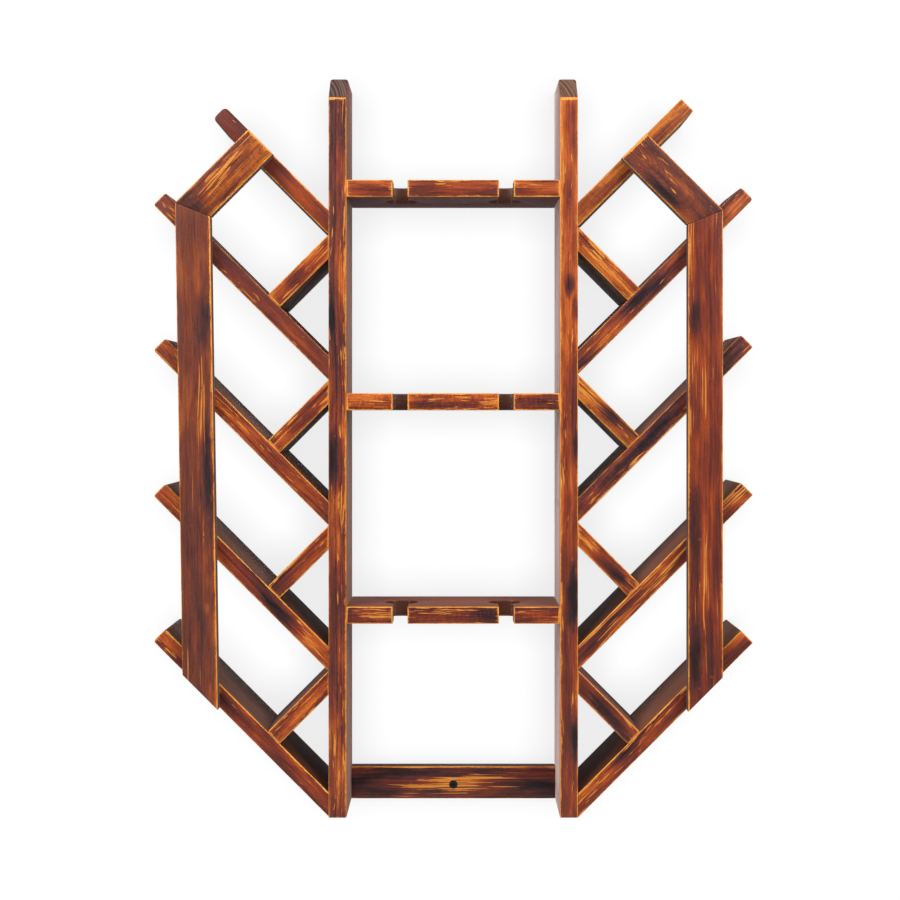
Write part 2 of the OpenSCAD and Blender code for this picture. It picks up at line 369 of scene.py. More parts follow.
def block_ends(lo, hi):
    """For a point on a shelf, the distances to the two ends of the front block that it belongs to."""
    walls = [lo.x, -GLASS_X - GLASS_SLOT / 2, -GLASS_X + GLASS_SLOT / 2,
             GLASS_X - GLASS_SLOT / 2, GLASS_X + GLASS_SLOT / 2, hi.x]

    def measure(spot):
        start = max((w for w in walls[0::2] if w <= spot.x + EASE / 2), default=walls[0])
        finish = min(w for w in walls[1::2] if w > start)
        return spot.x - start, finish - spot.x

    return measure


shelf_ends = {}
for name in SHELVES:
    lo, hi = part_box(name)
    board = Board(name, RIGHT, UP, lo.z, hi.z, (lo.copy(), -RIGHT), (hi.copy(), RIGHT))
    piece = board.sawn()
    for x in (-GLASS_X, GLASS_X):
        carve(piece, glass_keyhole(x, lo, hi))
    ease_edges(piece, SHELF_EASE)
    shelf_ends[name] = block_ends(lo, hi)
    boards[name] = board
    print(name, len(piece.data.polygons), "faces")

# %% [markdown]
# ## The bottom rail
# A low board ties the uprights' feet together at the wall. The black screw that holds the rack down
# goes through its middle, so it has a wide countersink there and a hole for the shank.

# %% Make the bottom rail
WALL_HEAD_R, WALL_SHANK_R = 4.8 * MM, 2.1 * MM
lo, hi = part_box("bottom_rail")
board = Board("bottom_rail", RIGHT, UP, lo.z, hi.z, (lo.copy(), -RIGHT), (hi.copy(), RIGHT),
              front=lo.y)
piece = board.sawn()
ease_edges(piece)
bpy.ops.mesh.primitive_cylinder_add(
    vertices=32, radius=WALL_SHANK_R + HOLE_GAP, depth=hi.y - lo.y + 2 * OVER,
    location=(0, (lo.y + hi.y) / 2, 0), rotation=(math.radians(90), 0, 0))
shank_hole = placed("shank_hole")
carve(piece, [countersink(Vector((0, lo.y, 0)), BACK, WALL_HEAD_R, WALL_SHANK_R)])
carve(piece, [shank_hole])
boards["bottom_rail"] = board
print("bottom_rail", len(piece.data.polygons), "faces")

# %% [markdown]
# ## Bars and braces
# A bar rises outwards from its upright, mitred against it and cut square at its outer end. A brace
# falls from just under that bar to the top of the bar below. A bottle lies in the V between them.
# The left bars' outer corners are rounder than most of the right bars', as they were sanded more.

# %% Make the bars
TIP_ROUND = {"left": 3.2 * MM, "right": 1.6 * MM, "left_bar_1": 5 * MM, "right_bar_2": 3.6 * MM,
             "right_bar_3": 2.4 * MM}
BRAD_HEAD_R, BRAD_HEAD_T = 1.3 * MM, 0.6 * MM


def middle_of(side, n):
    """Half way up the mitred face of bar n."""
    lo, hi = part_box(f"{side}_bar_{n}")
    return Vector((upright_face[side], 0, lo.z + bar_rise / 2))


def brace_screw_heads(side, n):
    """Where brace n's screws start, in the underside of the bar below it."""
    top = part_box(f"{side}_bar_{n}")[0].z
    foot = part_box(f"{side}_bar_{n + 1}")[0].z + bar_rise
    run = (top - bar_rise / 2 - foot) / 2
    x = upright_face[side] + SIDES[side] * (run + bar_rise / 2)
    return [Vector((x, y, foot + run - bar_rise / 2)) for y in ROWS]


for side, turn in SIDES.items():
    for n in range(1, BARS + 1):
        name = f"{side}_bar_{n}"
        lo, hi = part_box(name)
        root = Vector((upright_face[side], 0, lo.z))
        tip = Vector((outer(side, (lo, hi)), 0, lo.z + hi.x - lo.x))
        across = -FALLING[side]
        low = root.dot(across)
        board = Board(name, DIAGONAL[side], across, low, low + bar_t,
                      (middle_of(side, n), RIGHT * -turn), (tip, DIAGONAL[side]))
        piece = board.sawn()
        end = tip.dot(board.along)
        radius = TIP_ROUND.get(name, TIP_ROUND[side])
        round_off(piece, lambda at, way: abs(way.y) > 0.9 and at.dot(board.along) > end - MM, radius)
        ease_edges(piece)
        if n > 1:
            carve(piece, [countersink(place, across) for place in brace_screw_heads(side, n - 1)])
        boards[name] = board
print(2 * BARS, "bars")

# %% Make the braces
for side, turn in SIDES.items():
    for n in range(1, BARS):
        name = f"{side}_brace_{n}"
        lo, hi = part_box(name)
        head = Vector((upright_face[side], 0, hi.z))
        foot = middle_of(side, n + 1) + UP * bar_rise / 2
        across = DIAGONAL[side]
        high = head.dot(across)
        board = Board(name, FALLING[side], across, high - bar_t, high,
                      (head - UP * bar_rise / 2, RIGHT * -turn), (foot, FALLING[side]))
        piece = board.sawn()
        ease_edges(piece)
        boards[name] = board
print(2 * (BARS - 1), "braces")

# %% [markdown]
# ## The slats
# Two slats are nailed across the bars' ends on each side: a long upright one, and a short one at 45
# degrees that meets it in a mitre and reaches up to the top bar. The mitre's plane halves the angle
# between them. The long slat's foot is cut in line with the lowest bar's underside. Small
# round seats keep the brads' heads flush.

# %% Make the slats
def brad_seat(place):
    bpy.ops.mesh.primitive_cylinder_add(
        vertices=20, radius=BRAD_HEAD_R + HOLE_GAP, depth=BRAD_HEAD_T + OVER,
        rotation=(math.radians(90), 0, 0), location=place + BACK * (BRAD_HEAD_T - OVER) / 2)
    return placed("brad_seat")


BRAD_SPREAD = 9 * MM

for side, turn in SIDES.items():
    lo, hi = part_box(f"{side}_outer_slat")
    corner = Vector((outer(side, (lo, hi)), 0, hi.z))
    lean = SLAT_LEAN[side]
    rising = Vector((turn * math.sin(lean), 0, math.cos(lean)))
    outward = Vector((turn * math.cos(lean), 0, -math.sin(lean)))
    slanting = Vector((-turn, 0, 1)).normalized()
    mitre = (slanting + rising).normalized()
    edge = corner.dot(outward)
    lowest = (middle_of(side, BARS) - UP * bar_rise / 2, FALLING[side])
    tall = Board(f"{side}_outer_slat", rising, outward, edge - slat_w, edge, lowest, (corner, mitre),
                 slat_front, slat_back)
    rim = corner.dot(DIAGONAL[side])
    top = (middle_of(side, 1) + UP * bar_rise / 2, -FALLING[side])
    short = Board(f"{side}_corner_slat", slanting, DIAGONAL[side], rim - slat_w, rim,
                  (corner, -mitre), top, slat_front, slat_back)
    for board in (tall, short):
        piece = board.sawn()
        ease_edges(piece)
        boards[board.name] = board
    for n in range(1, BARS + 1):
        board = short if n == 1 else tall
        line = middle_of(side, n)
        half = (board.high + board.low) / 2
        reach = (half - line.dot(board.across)) / DIAGONAL[side].dot(board.across)
        middle = line + DIAGONAL[side] * reach
        middle.y = slat_front
        carve(board.piece, [brad_seat(middle + DIAGONAL[side] * d) for d in (-BRAD_SPREAD, BRAD_SPREAD)])
print("slats", [round(boards[f"{side}_outer_slat"].length / MM) for side in SIDES], "mm long")

# %% [markdown]
# ## Storing the grain
# Every board has its final shape now, so its grain and its distances are stored. It takes the place
# of the frame's plain board of the same name, which is hidden.

# %% Store the grain on every board
for seed, (name, board) in enumerate(boards.items()):
    mark(board, seed + 1, shelf_ends.get(name))
    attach(board.piece, "root")
    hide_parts(name)
print(len(boards), "boards")

# %% [markdown]
# ## Building finishes from nodes
# A finish is a small tree of nodes. The helper below adds a node, sets it up and fills its inputs in
# order: a socket is linked, None is left alone, and anything else is a value. A shared effect is a
# node group, made once and placed in each material with its own numbers.

# %% Helpers: nodes, groups and colours
def colour(code):
    """A colour from its hex code, as the linear values that shaders use."""
    values = [int(code[i:i + 2], 16) / 255 for i in (1, 3, 5)]
    return (*[v / 12.92 if v <= 0.04045 else ((v + 0.055) / 1.055) ** 2.4 for v in values], 1)


def add(tree, kind, *inputs, **settings):
    made = tree.nodes.new("ShaderNode" + kind)
    for key, value in settings.items():
        setattr(made, key, value)
    for socket, value in zip([i for i in made.inputs if i.enabled], inputs):
        if isinstance(value, bpy.types.NodeSocket):
            tree.links.new(value, socket)
        elif value is not None:
            socket.default_value = value
    return next(o for o in made.outputs if o.enabled)


def maths(tree, operation, *inputs, clamp=False):
    return add(tree, "Math", *inputs, operation=operation, use_clamp=clamp)


def smooth(tree, value, low, high, start=0.0, finish=1.0):
    """Eases a value from start to finish as it goes from low to high."""
    return add(tree, "MapRange", value, low, high, start, finish, interpolation_type="SMOOTHSTEP")


def blend(tree, share, first, second, way="MIX"):
    made = tree.nodes.new("ShaderNodeMix")
    made.data_type, made.blend_type, made.clamp_factor = "RGBA", way, True
    for socket, value in zip((made.inputs[0], made.inputs[6], made.inputs[7]), (share, first, second)):
        if isinstance(value, bpy.types.NodeSocket):
            tree.links.new(value, socket)
        else:
            socket.default_value = value
    return made.outputs[2]


def speckle(tree, grain, seed, along, across, detail=2.0, roughness=0.5):
    """Noise whose spots are that many millimetres long and wide, on the board's grain."""
    size = add(tree, "VectorMath", grain, (1 / along, 1 / across, 1 / across), operation="MULTIPLY")
    return add(tree, "TexNoise", size, seed, 1.0, detail, roughness, noise_dimensions="4D")


def new_group(name, inputs, outputs):
    group = bpy.data.node_groups.new(name, "ShaderNodeTree")
    for label, value in inputs.items():
        size = len(value) if isinstance(value, tuple) else 1
        kind = {1: "NodeSocketFloat", 3: "NodeSocketVector", 4: "NodeSocketColor"}[size]
        group.interface.new_socket(label, in_out="INPUT", socket_type=kind).default_value = value
    for label, kind in outputs.items():
        group.interface.new_socket(label, in_out="OUTPUT", socket_type="NodeSocket" + kind)
    return group, group.nodes.new("NodeGroupInput").outputs, group.nodes.new("NodeGroupOutput").inputs


def place_group(tree, group, **inputs):
    """Places a group in a tree, and returns its outputs."""
    made = tree.nodes.new("ShaderNodeGroup")
    made.node_tree = group
    for label, value in inputs.items():
        socket = made.inputs[label.replace("_", " ")]
        if isinstance(value, bpy.types.NodeSocket):
            tree.links.new(value, socket)
        else:
            socket.default_value = value
    return made.outputs


# %% [markdown]
# ## Effect: edges brushed bright
# The brush wears the front arrises down to golden wood. The band's width wanders along the edge, and
# its border is ragged. The distances stored on the board, divided by each edge's own width, say how
# deep in the band a point is. Round the corner, on the side faces, the band stops within a millimetre.
# The same distances tell cut ends from other faces, and where shade is painted beside an upright and in
# holes.

# %% Group: worn edges
worn_edges, given, result = new_group(
    "worn edges",
    {"grain": (0.0, 0.0, 0.0), "sides": (0.0, 0.0, 0.0), "ends": (0.0, 0.0, 0.0), "board": 0.0,
     "low": 1.0, "high": 1.0, "start": 1.0, "finish": 1.0, "ragged": 0.6, "soot low": 0.0,
     "soot high": 0.0, "worn to": 1000.0},
    {"gold": "Float", "glow": "Float", "front": "Float", "end": "Float", "soot": "Float"})
g = worn_edges
from_low, from_high, from_front = add(g, "SeparateXYZ", given["sides"]).node.outputs
from_start, from_finish, from_back = add(g, "SeparateXYZ", given["ends"]).node.outputs
nearest = maths(g, "DIVIDE", from_low, given["low"])
for label, away in (("high", from_high), ("start", from_start), ("finish", from_finish)):
    nearest = maths(g, "MINIMUM", nearest, maths(g, "DIVIDE", away, given[label]))
band = maths(g, "MAXIMUM", nearest, maths(g, "MULTIPLY", from_front, 1.1))
wander = speckle(g, given["grain"], given["board"], 24, 14, 2)
wander = add(g, "MapRange", wander, 0.33, 0.66, 0.6, 1.4)
fray = maths(g, "SUBTRACT", speckle(g, given["grain"], given["board"], 4, 1.4, 2, 0.6), 0.5)
fray = maths(g, "MULTIPLY", fray, maths(g, "MULTIPLY", given["ragged"], 2.4))
band = maths(g, "ADD", maths(g, "DIVIDE", band, wander), fray)
front = smooth(g, from_front, 0.6, 1.6, 1.0, 0.0)
along = add(g, "SeparateXYZ", given["grain"]).node.outputs[0]
beyond = maths(g, "SUBTRACT", along, given["worn to"])
worn = maths(g, "MULTIPLY", front, smooth(g, beyond, -4.0, 4.0, 1.0, 0.0))
g.links.new(maths(g, "MULTIPLY", smooth(g, band, 0.7, 1.2, 1.0, 0.0), worn), result["gold"])
g.links.new(maths(g, "MULTIPLY", smooth(g, band, 0.7, 4.0, 1.0, 0.0), worn), result["glow"])
g.links.new(front, result["front"])
cut = maths(g, "ABSOLUTE", maths(g, "MINIMUM", from_start, from_finish))
at_cut = smooth(g, cut, 0.25, 0.6, 1.0, 0.0)
sawn = maths(g, "MULTIPLY", at_cut, maths(g, "SUBTRACT", 1.0, front))
g.links.new(sawn, result["end"])
# Painted shade: near the upright, the faces inside the V between a bar and its brace go dark
soot = 0.0
for label, away in (("soot low", from_low), ("soot high", from_high)):
    reached = smooth(g, maths(g, "SUBTRACT", from_start, given[label]), -5.0, 0.0, 1.0, 0.0)
    on_face = smooth(g, away, 0.8, 2.0, 1.0, 0.0)
    soot = maths(g, "MAXIMUM", soot, maths(g, "MULTIPLY", reached, on_face))
# The walls of holes lie inside all the faces, and they get the same painted shade
depth = from_low
for away in (from_high, from_front, from_back):
    depth = maths(g, "MINIMUM", depth, away)
hole = maths(g, "MULTIPLY", smooth(g, depth, 0.8, 2.0), maths(g, "SUBTRACT", 1.0, sawn))
g.links.new(maths(g, "MAXIMUM", soot, hole), result["soot"])
print(g.name, len(g.nodes), "nodes")

# %% [markdown]
# ## Effect: patches
# The torch left dark scorches in some places and bright wood in others, and each board has its own.
# A patch is an oval on the board's grain whose border is blurred and pulled about by noise.

# %% Group: a patch
patch, given, result = new_group(
    "patch",
    {"grain": (0.0, 0.0, 0.0), "board": 0.0, "middle": (0.0, 0.0, 0.0),
     "reach": (40.0, 10.0, 100.0), "ragged": 0.5, "fade": 0.8},
    {"patch": "Float"})
g = patch
away = add(g, "VectorMath", given["grain"], given["middle"], operation="SUBTRACT")
away = add(g, "VectorMath", away, given["reach"], operation="DIVIDE")
flat = add(g, "VectorMath", away, (1.0, 1.0, 0.0), operation="MULTIPLY")
length = add(g, "VectorMath", flat, operation="LENGTH").node.outputs["Value"]
pull = maths(g, "SUBTRACT", speckle(g, given["grain"], given["board"], 18, 5, 3, 0.6), 0.5)
length = maths(g, "ADD", length, maths(g, "MULTIPLY", pull, maths(g, "MULTIPLY", given["ragged"], 3.0)))
inner = maths(g, "SUBTRACT", 1.0, given["fade"])
rim = maths(g, "ADD", inner, maths(g, "MULTIPLY", given["fade"], 1.6))
g.links.new(smooth(g, length, inner, rim, 1.0, 0.0), result["patch"])
print(g.name, len(g.nodes), "nodes")

# %% [markdown]
# ## The pine itself
# Growth rings are cylinders round the tree's pith. So a ring is wherever the distance from the pith
# line is the same, and one pattern gives straight lines on the faces and arcs on the cut ends. The
# stain comes first, red-brown that drifts to purple-black where the torch lingered and to orange
# where it didn't. Golden streaks, where the brush cut through the stain, are laid over it.

# %% Group: scorched and stained pine
RING_WIDTH = 2.3
GROUND = [(0.0, "#1b1012"), (0.2, "#351b1b"), (0.4, "#53251e"), (0.6, "#6e2c1c"),
          (0.8, "#8f3d1a"), (1.0, "#b4581f")]
SHADE_BROWN, AMBER, DULL_GOLD, GOLD = (colour(code) for code in ("#44200f", "#9c4a1b", "#bb6a1f", "#efa945"))
scorched_pine, given, result = new_group(
    "scorched pine",
    {"grain": (0.0, 0.0, 0.0), "board": 0.0, "front": 1.0, "end": 0.0, "soot": 0.0, "gold": 0.0,
     "glow": 0.0, "scorch": 0.0, "scorch depth": 0.36, "bright": 0.0, "contrast": 1.0,
     "pith": (0.0, -60.0, -60.0), "slant": 0.0, "side face": colour("#5f4040"),
     "end face": colour("#77523f"), "tint": (1.0, 1.0, 1.0, 1.0), "tone": 0.6, "rise": 0.0,
     "drift": 1.0, "figure": 0.0, "streaks": 0.4, "streak length": 18.0, "streak width": 1.3,
     "streak strength": 0.75, "clump length": 60.0, "clump width": 7.0},
    {"colour": "Color", "roughness": "Float", "height": "Float"})
g = scorched_pine
# Grain lines waver slowly along the board
slow = add(g, "VectorMath", given["grain"], (1.0, 1.0, 0.2), operation="MULTIPLY")
sway = maths(g, "SUBTRACT", speckle(g, slow, given["board"], 120, 30, 1), 0.5)
sway = add(g, "CombineXYZ", 0.0, maths(g, "MULTIPLY", sway, 12.0), 0.0)
flow = add(g, "VectorMath", given["grain"], sway, operation="ADD")
# Growth rings, fine fibres across them, and specks left by the brush
along = add(g, "SeparateXYZ", given["grain"]).node.outputs[0]
from_pith = add(g, "VectorMath", flow, given["pith"], operation="SUBTRACT")
from_pith = add(g, "VectorMath", from_pith, (0.0, 1.0, 1.0), operation="MULTIPLY")
leaning = add(g, "CombineXYZ", 0.0, 0.0, maths(g, "MULTIPLY", along, given["slant"]))
from_pith = add(g, "VectorMath", from_pith, leaning, operation="ADD")
from_pith = add(g, "VectorMath", from_pith, operation="LENGTH").node.outputs["Value"]
ring = maths(g, "DIVIDE", from_pith, RING_WIDTH)
ring = maths(g, "ADD", ring, maths(g, "MULTIPLY", given["board"], 7.3))
rings = add(g, "TexNoise", ring, 1.0, 1.0, 0.5, noise_dimensions="1D")
fibres = speckle(g, flow, given["board"], 30, 1.4, 3, 0.7)
specks = speckle(g, given["grain"], given["board"], 2.6, 1.4, 2, 0.6)
shade = maths(g, "ADD", maths(g, "MULTIPLY", rings, 1.3), maths(g, "MULTIPLY", fibres, 2.0))
shade = add(g, "MapRange", shade, 1.1, 2.2, -0.55, 0.55)
shade = maths(g, "ADD", shade, maths(g, "SUBTRACT", specks, 0.5))
shade = maths(g, "MULTIPLY", shade, given["contrast"])
shade = maths(g, "MAXIMUM", maths(g, "ADD", shade, 1.0), 0.3)
weave = speckle(g, given["grain"], given["board"], 2.6, 9, 1, 0.5)
figured = maths(g, "MULTIPLY", given["figure"], 2.2)
weave = maths(g, "MULTIPLY", maths(g, "SUBTRACT", weave, 0.5), figured)
# The stained ground
drift = maths(g, "SUBTRACT", speckle(g, flow, given["board"], 70, 12, 3, 0.55), 0.5)
drifted = maths(g, "MULTIPLY", drift, maths(g, "MULTIPLY", given["drift"], 1.7))
ground = maths(g, "ADD", given["tone"], drifted)
ground = maths(g, "SUBTRACT", ground, maths(g, "MULTIPLY", given["scorch"], given["scorch depth"]))
ground = maths(g, "ADD", ground, maths(g, "MULTIPLY", given["bright"], 0.18))
ground = maths(g, "ADD", ground, maths(g, "MULTIPLY", given["glow"], 0.12))
rise = maths(g, "MULTIPLY", along, given["rise"])
ground = maths(g, "ADD", maths(g, "ADD", ground, weave), maths(g, "MULTIPLY", rise, 0.01))
ramp = add(g, "ValToRGB", ground).node
ramp.color_ramp.elements.remove(ramp.color_ramp.elements[0])
for i, (stop, code) in enumerate(GROUND):
    stain = ramp.color_ramp.elements[0] if i == 0 else ramp.color_ramp.elements.new(stop)
    stain.position, stain.color = stop, colour(code)
shades = add(g, "CombineColor", shade, shade, shade)
tinted = blend(g, 1.0, ramp.outputs["Color"], given["tint"], "MULTIPLY")
stained = blend(g, 1.0, tinted, shades, "MULTIPLY")


# Golden streaks, gathered in clumps
def stretched(tree, vector, seed, length, width, detail):
    """Noise whose spots are as long and wide as two inputs of the group say."""
    thin = maths(tree, "DIVIDE", 1.0, width)
    size = add(tree, "CombineXYZ", maths(tree, "DIVIDE", 1.0, length), thin, thin)
    return add(tree, "TexNoise", add(tree, "VectorMath", vector, size, operation="MULTIPLY"),
               maths(tree, "ADD", given["board"], seed), 1.0, detail, 0.5, noise_dimensions="4D")


lines = stretched(g, flow, 50.0, given["streak length"], given["streak width"], 1.5)
clumps = stretched(g, flow, 90.0, given["clump length"], given["clump width"], 2.0)
lines = maths(g, "ADD", lines, maths(g, "MULTIPLY", maths(g, "SUBTRACT", clumps, 0.5), 0.8))
lines = maths(g, "ADD", lines, maths(g, "MULTIPLY", maths(g, "SUBTRACT", rings, 0.5), 0.25))
lines = maths(g, "ADD", lines, maths(g, "MULTIPLY", given["glow"], 0.08))
lines = maths(g, "ADD", lines, maths(g, "MULTIPLY", given["bright"], 0.14))
lines = maths(g, "SUBTRACT", lines, maths(g, "MULTIPLY", given["scorch"], 0.1))
barely = add(g, "MapRange", given["streaks"], 0.0, 1.0, 0.8, 0.5)
streak = smooth(g, lines, barely, maths(g, "ADD", barely, 0.07))
streak = maths(g, "MULTIPLY", streak, given["front"])
streak = maths(g, "MULTIPLY", streak, given["streak strength"])
gold = maths(g, "MAXIMUM", streak, given["gold"], clamp=True)
gold = maths(g, "MULTIPLY", gold, maths(g, "SUBTRACT", 1.0, maths(g, "MULTIPLY", given["scorch"], 0.7)))
gilt = add(g, "ValToRGB", add(g, "MapRange", fibres, 0.3, 0.7, 0.0, 1.0)).node
gilt.color_ramp.elements[0].color, gilt.color_ramp.elements[1].color = DULL_GOLD, GOLD
amber = blend(g, smooth(g, gold, 0.05, 0.6), stained, AMBER)
face = blend(g, smooth(g, gold, 0.35, 1.0), amber, gilt.outputs["Color"])
# Side faces are plainer. Cut ends show the rings, and painted shade darkens the corners and holes
plain = maths(g, "ADD", maths(g, "MULTIPLY", rings, 0.7), maths(g, "MULTIPLY", fibres, 0.8))
plain = add(g, "MapRange", plain, 0.5, 1.0, 0.72, 1.25)
plain = maths(g, "ADD", plain, maths(g, "MULTIPLY", drift, 0.8))
flank = blend(g, 1.0, given["side face"], add(g, "CombineColor", plain, plain, plain), "MULTIPLY")
# Painted shade: the shaded corners and the walls of holes are blended towards a dark brown
flank = blend(g, maths(g, "MULTIPLY", given["soot"], 0.93), flank, SHADE_BROWN)
arcs = smooth(g, rings, 0.4, 0.58, 0.3, 1.0)
sawn = blend(g, 1.0, given["end face"], add(g, "CombineColor", arcs, arcs, arcs), "MULTIPLY")
flank = blend(g, given["end"], flank, sawn)
g.links.new(blend(g, given["front"], flank, face), result["colour"])
rough = maths(g, "ADD", 0.48, maths(g, "MULTIPLY", maths(g, "SUBTRACT", fibres, 0.5), 0.5))
g.links.new(maths(g, "ADD", rough, maths(g, "MULTIPLY", gold, 0.08)), result["roughness"])
height = maths(g, "SUBTRACT", maths(g, "ADD", fibres, rings), maths(g, "MULTIPLY", gold, 0.5))
g.links.new(height, result["height"])
print(g.name, len(g.nodes), "nodes")


# %% [markdown]
# ## A finish for each board
# Each board gets its own material, because each was scorched and brushed by hand. They differ only in
# the numbers below: how wide the worn edges are, how many streaks there are, and where the patches lie.

# %% Helper: one board's finish
TO_MM = (1 / MM,) * 3
SHEEN_TINT = colour("#f2dad2")


def pine(name, worn=None, scorch=(), bright=(), sheen=0.1, **looks):
    material = bpy.data.materials.new(name)
    material.use_nodes = True
    tree = material.node_tree
    shader = tree.nodes["Principled BSDF"]
    read = {layer: add(tree, "Attribute", attribute_name=layer).node.outputs for layer in
            ("grain", "sides", "ends", "board")}
    in_mm = {layer: add(tree, "VectorMath", read[layer]["Vector"], TO_MM, operation="MULTIPLY")
             for layer in ("grain", "sides", "ends")}
    number = read["board"]["Fac"]
    edges = place_group(tree, worn_edges, grain=in_mm["grain"], sides=in_mm["sides"], ends=in_mm["ends"],
                        board=number, **(worn or {}))
    sums = []
    for spots in (scorch, bright):
        total = None
        for along, across, long, wide in spots:
            spot = place_group(tree, patch, grain=in_mm["grain"], board=number,
                               middle=(along, across, 0.0), reach=(long, wide, 1000.0))["patch"]
            total = spot if total is None else maths(tree, "MAXIMUM", total, spot)
        sums.append(0.0 if total is None else total)
    masks = {mask: edges[mask] for mask in ("front", "end", "soot", "gold", "glow")}
    wood = place_group(tree, scorched_pine, grain=in_mm["grain"], board=number, scorch=sums[0],
                       bright=sums[1], **masks, **looks)
    tree.links.new(wood["colour"], shader.inputs["Base Color"])
    tree.links.new(wood["roughness"], shader.inputs["Roughness"])
    bump = tree.nodes.new("ShaderNodeBump")
    bump.inputs["Strength"].default_value, bump.inputs["Distance"].default_value = 0.4, 0.3 * MM
    tree.links.new(wood["height"], bump.inputs["Height"])
    tree.links.new(bump.outputs["Normal"], shader.inputs["Normal"])
    shader.inputs["Specular IOR Level"].default_value = 0.25
    shader.inputs["Sheen Weight"].default_value = sheen
    shader.inputs["Sheen Roughness"].default_value = 0.35
    shader.inputs["Sheen Tint"].default_value = SHEEN_TINT
    return material


# %% [markdown]
# ## The boards' own numbers
# Widths and places are in millimetres. A width of nearly nothing leaves an edge dark, as in a tight
# joint. Patches are given as the place along and across the board from its middle, then half the
# length and half the width. On a board that rises or slants outwards, along points that way.

# %% Looks of the uprights, shelves and rail
NONE = 0.01
OLIVE, PLUM, DUSTY = (0.98, 1.25, 1.1, 1.0), (1.0, 1.12, 1.3, 1.0), (1.0, 1.38, 1.5, 1.0)
LOOKS = {
    "left_upright": dict(
        worn=dict(low=0.7, high=1.1, start=NONE, finish=1.2, ragged=0.9), tone=0.58, rise=-0.03,
        streaks=0.36, tint=PLUM, end_face=colour("#634a42"),
        scorch=[(142, -7, 24, 6), (-15, -6, 30, 7), (-260, -7, 40, 6)],
        bright=[(180, 4, 52, 6), (15, 4, 8, 3), (-181, 4, 6, 3), (-53, 2, 30, 10), (-330, 0, 60, 10)]),
    "right_upright": dict(
        worn=dict(low=1.3, high=0.9, start=NONE, finish=1.8), tone=0.68, rise=0.035, streaks=0.32,
        contrast=0.7, scorch_depth=0.6,
        scorch=[(174, 1, 13, 5), (148, 7, 18, 4), (1, 8, 20, 4), (-167, 6, 38, 7), (-318, 7, 26, 5)],
        bright=[(-168, -7, 26, 3), (120, -3, 50, 4), (30, -4, 60, 5)]),
    "top_shelf": dict(worn=dict(start=1.6, finish=1.6), tone=0.66, streaks=0.36),
    "middle_shelf": dict(worn=dict(low=1.2, high=1.2, start=1.6, finish=1.6), tone=0.62, streaks=0.38,
                         bright=[(-8, 2, 34, 4), (-92, 2, 20, 7), (40, 0, 10, 8)], figure=0.3),
    "bottom_shelf": dict(worn=dict(start=1.4, finish=1.4), tone=0.45, streaks=0.37, figure=0.2,
                         bright=[(-88, 2, 26, 8), (90, 0, 26, 9), (0, 2, 26, 3)]),
    "bottom_rail": dict(worn=dict(low=0.5, high=1.2, start=NONE, finish=NONE), tone=0.37, tint=PLUM,
                        streaks=0.5, streak_length=70.0, streak_width=1.5, clump_length=130.0,
                        clump_width=9.0, scorch_depth=0.12, scorch=[(-100, 0, 24, 20), (96, 2, 22, 20)],
                        bright=[(10, -2, 60, 9)]),
}

# %% Looks of the slats
LOOKS.update({
    "left_outer_slat": dict(
        worn=dict(low=1.5, high=0.8, start=NONE, finish=NONE), tone=0.57, tint=DUSTY, streaks=0.42,
        contrast=0.75, drift=0.6, streak_length=120.0, streak_width=2.1, clump_length=300.0,
        clump_width=16.0,
        scorch=[(204, -9, 28, 8), (40, -11, 54, 8)],
        bright=[(-75, -10, 9, 4), (-103, -8, 5, 3), (90, -6, 70, 5)]),
    "left_corner_slat": dict(
        worn=dict(low=1.2, high=1.4, start=NONE, finish=1.6), tone=0.66, tint=OLIVE, streaks=0.46,
        figure=0.15, scorch_depth=0.26, streak_length=36.0, streak_width=1.7, clump_length=80.0,
        clump_width=10.0,
        scorch=[(-2, -12, 26, 4), (-46, 0, 15, 18)], bright=[(6, 8, 44, 10)]),
    "right_outer_slat": dict(
        worn=dict(low=1.3, high=1.1, start=NONE, finish=NONE), tone=0.55, rise=0.012, streaks=0.36,
        contrast=0.75, drift=0.7,
        streak_length=90.0, streak_width=1.6, clump_length=200.0, clump_width=9.0,
        scorch=[(215, -11, 22, 7), (-15, -11, 38, 7), (-155, -11, 30, 7)],
        bright=[(135, 2, 66, 8), (-60, 0, 60, 8)]),
    "right_corner_slat": dict(
        worn=dict(low=0.8, high=0.8, start=NONE, finish=2.6), tone=0.49, streaks=0.22,
        contrast=0.65, tint=DUSTY, pith=(0.0, -2.0, 12.0), slant=0.35,
        scorch=[(-4, -12, 24, 6)], bright=[(36, -2, 15, 9), (10, 3, 20, 4)]),
})

